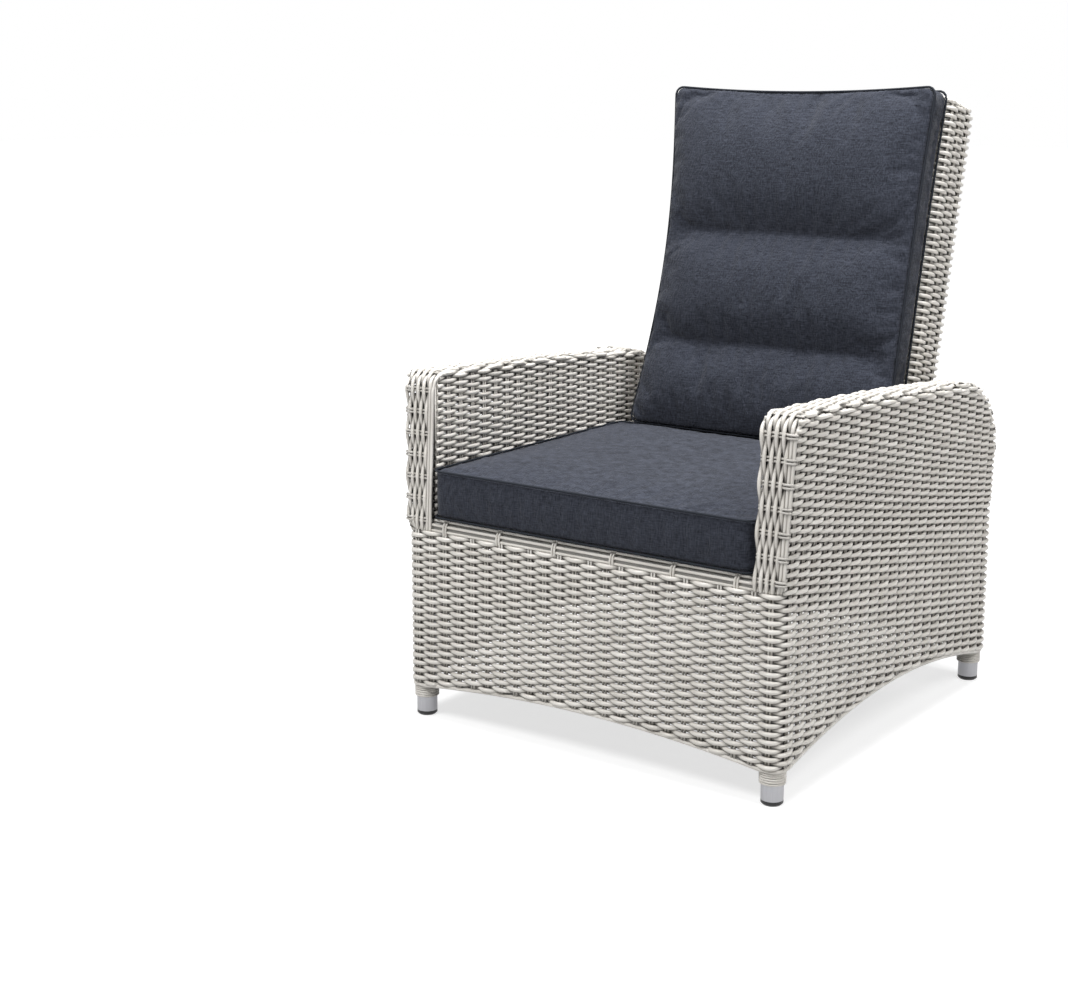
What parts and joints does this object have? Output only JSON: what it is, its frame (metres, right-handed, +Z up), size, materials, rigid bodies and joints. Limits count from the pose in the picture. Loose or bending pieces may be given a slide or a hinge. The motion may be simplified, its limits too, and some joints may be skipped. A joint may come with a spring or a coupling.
{
  "type": "reclining armchair",
  "caption": "Reclining garden armchair: woven sides and arms, a hinged woven back on a lockable gas spring, a release handle in the arm, metal feet and thick cushions.",
  "frame": {"origin": "on the floor, in the middle of the whole chair's bounding box", "axes": "+X to the sitter's left, -Y to the front, +Z up"},
  "size_m": [0.76, 0.8553, 1.0854],
  "materials": {
    "weave_strand": "round woven strands in warm light grey, soft sheen",
    "leg_tube": "satin",
    "frame_tube": "satin powder coat",
    "black_plastic": "fine matt",
    "cable_jacket": "smooth jacket",
    "handle": "satin",
    "strap": "flat elastic webbing",
    "steel": "zinc plated",
    "cast_aluminium": "cast",
    "rod_chrome": "polished",
    "spring_body": "satin black",
    "cushion_cloth": "woven melange cloth in dark slate blue-grey"
  },
  "bodies": {
    "base": {"leg_front_left": "leg_tube", "leg_front_right": "leg_tube", "leg_rear_left": "leg_tube", "leg_rear_right": "leg_tube", "foot_glides": "black_plastic", "leg_collars": "weave_strand", "side_rail_left": "frame_tube", "side_rail_right": "frame_tube", "seat_rail_front": "frame_tube", "seat_rail_rear": "frame_tube", "deck_rails": "frame_tube", "spring_cross_tube": "frame_tube", "arm_hoop_outer_left": "frame_tube", "arm_hoop_outer_right": "frame_tube", "arm_hoop_inner_left": "frame_tube", "arm_hoop_inner_right": "frame_tube", "arm_rungs_left": "frame_tube", "arm_rungs_right": "frame_tube", "hem_tube_left": "frame_tube", "hem_tube_right": "frame_tube", "hem_tube_front": "frame_tube", "hem_tube_rear": "frame_tube", "seat_straps": "strap", "pivot_bracket_left": "frame_tube", "pivot_bracket_right": "frame_tube", "pivot_bushes": "black_plastic", "spring_clevis": "frame_tube", "clevis_pin": "steel", "release_head": "cast_aluminium", "head_lever_pin": "steel", "gas_rod": "rod_chrome", "handle_bar": "frame_tube", "handle_bezel": "black_plastic", "release_cable": "cable_jacket", "side_weave_left": "weave_strand", "side_weave_right": "weave_strand", "arm_inner_weave_left": "weave_strand", "arm_inner_weave_right": "weave_strand", "arm_band_left": "weave_strand", "arm_band_right": "weave_strand", "front_apron_weave": "weave_strand", "rear_apron_weave": "weave_strand", "rail_wrap_front": "weave_strand", "rail_wrap_rear": "weave_strand", "seat_cushion": "cushion_cloth"},
    "back": {"back_torsion_tube": "frame_tube", "pivot_bosses": "steel", "pivot_bolts": "steel", "back_pivot_plates": "frame_tube", "back_hoop_front": "frame_tube", "back_hoop_rear": "frame_tube", "back_rungs": "frame_tube", "back_weave": "weave_strand", "spring_crank": "frame_tube", "crank_pin": "steel", "back_cushion": "cushion_cloth"},
    "spring_cylinder": {"gas_cylinder": "spring_body"},
    "release_handle": {"recline_handle": "handle"},
    "release_lever": {"head_lever": "steel"},
    "valve_pin": {"release_pin": "steel"}
  },
  "joints": [
    {"name": "back_recline", "type": "hinge", "parent": "base", "child": "back", "pos_m": [0, 0.22035, 0.392], "axis": [-1, 0, 0], "range_deg": [0, 35]},
    {"name": "spring_stroke", "type": "slide", "parent": "base", "child": "spring_cylinder", "axis": [0, -1, 0], "range_m": [0, 0.0452]},
    {"name": "handle_pull", "type": "hinge", "parent": "base", "child": "release_handle", "pos_m": [0.32, -0.24965, 0.518], "axis": [-1, 0, 0], "range_deg": [0, 18], "stiffness_Nm_per_rad": 0.8, "springref_deg": -11.46},
    {"name": "release_lever_turn", "type": "hinge", "parent": "base", "child": "release_lever", "pos_m": [0, -0.05895, 0.32674], "axis": [1, 0, 0], "range_deg": [0, 18.1]},
    {"name": "valve_push", "type": "slide", "parent": "base", "child": "valve_pin", "axis": [0, 1, 0], "range_m": [0, 0.00275]}
  ],
  "couplings": [
    {"joint": "spring_stroke", "follows": "back_recline", "m_per_rad": 0.073839},
    {"joint": "release_lever_turn", "follows": "handle_pull", "ratio": 1},
    {"joint": "valve_push", "follows": "handle_pull", "m_per_rad": 0.008594}
  ]
}
